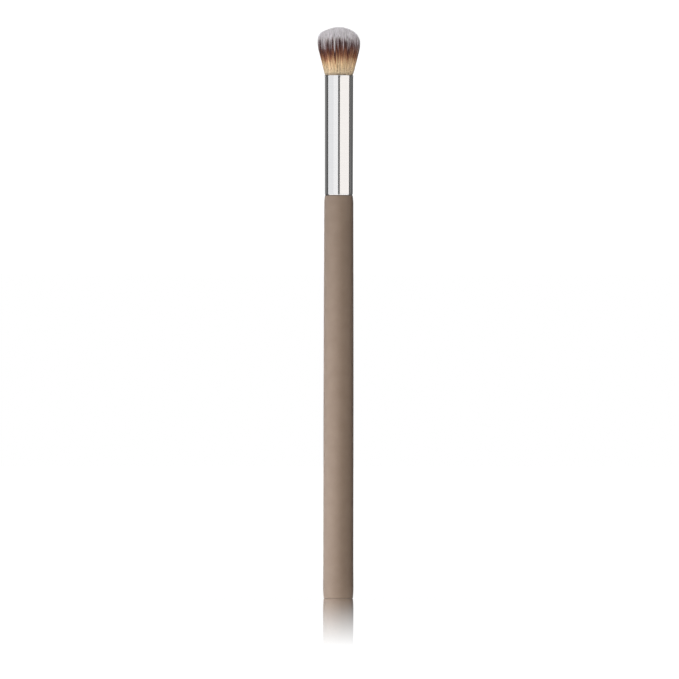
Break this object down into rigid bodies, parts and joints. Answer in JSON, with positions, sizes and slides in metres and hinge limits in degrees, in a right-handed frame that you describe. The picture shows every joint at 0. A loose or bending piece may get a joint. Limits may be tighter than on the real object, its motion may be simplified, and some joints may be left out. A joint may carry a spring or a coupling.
{
  "type": "concealer brush",
  "caption": "Slim makeup brush with a round wooden handle, a polished metal ferrule and a dense domed tuft of tan, brown and grey synthetic bristles.",
  "frame": {"origin": "centre of the handle's flat end, the lowest point of the brush as it stands", "axes": "+Z along the brush from the handle's end to the tip of the tuft; -Y is the side seen in the picture"},
  "size_m": [0.0122, 0.0123, 0.17],
  "materials": {
    "handle_soft_touch": "matte",
    "ferrule_metal": "polished",
    "bristles": "satin",
    "resin": "gloss",
    "adhesive": "satin"
  },
  "bodies": {
    "root": {"handle": "handle_soft_touch", "ferrule": "ferrule_metal", "bristle_tuft": "bristles", "resin_plug": "resin", "adhesive_sleeve": "adhesive"}
  },
  "joints": []
}
